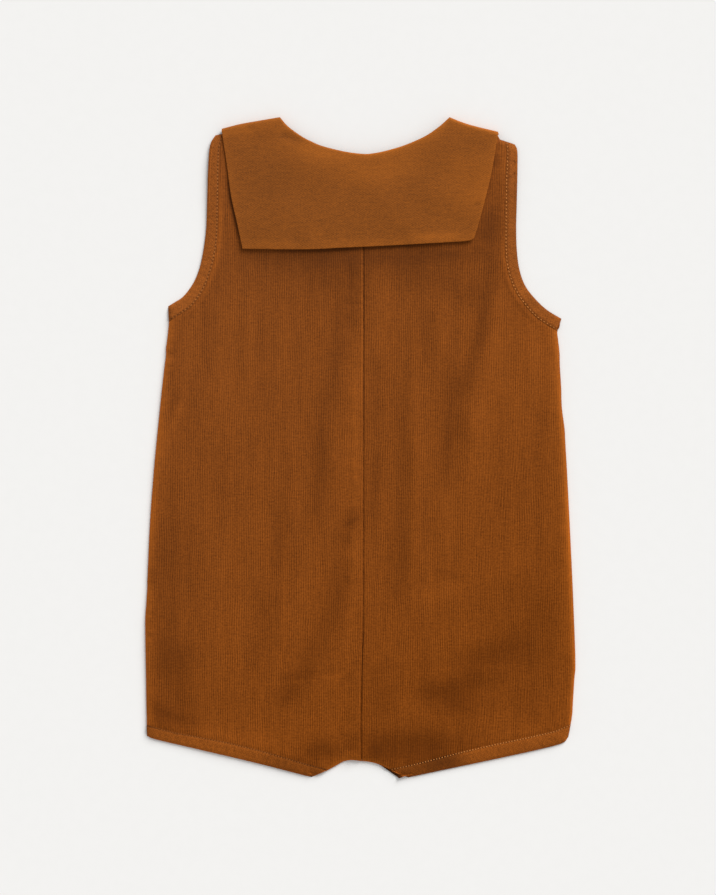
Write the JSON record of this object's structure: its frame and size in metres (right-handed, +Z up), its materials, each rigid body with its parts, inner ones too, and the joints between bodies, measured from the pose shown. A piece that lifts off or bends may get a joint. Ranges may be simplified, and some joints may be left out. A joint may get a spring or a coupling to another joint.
{
  "type": "baby romper",
  "caption": "Sleeveless baby romper with a square back collar and bound armholes and leg openings, laid flat with its back up.",
  "frame": {"origin": "centre of the bounding box at the floor it lies on", "axes": "+Y towards the shoulders, +X to the right as seen from above with the back up, +Z up"},
  "size_m": [0.301, 0.4628, 0.0074],
  "materials": {
    "rust_rib": "matte, fine vertical ribs",
    "rust_twill": "matte, fine close weave, a little lighter"
  },
  "bodies": {
    "root": {"back_left": "rust_rib", "back_right": "rust_rib", "front": "rust_rib", "collar": "rust_twill", "armhole_band_back_left": "rust_twill", "armhole_band_back_right": "rust_twill", "armhole_band_front_left": "rust_twill", "armhole_band_front_right": "rust_twill", "leg_band_back_left": "rust_twill", "leg_band_back_right": "rust_twill", "leg_band_front_left": "rust_twill", "leg_band_front_right": "rust_twill"}
  },
  "joints": []
}
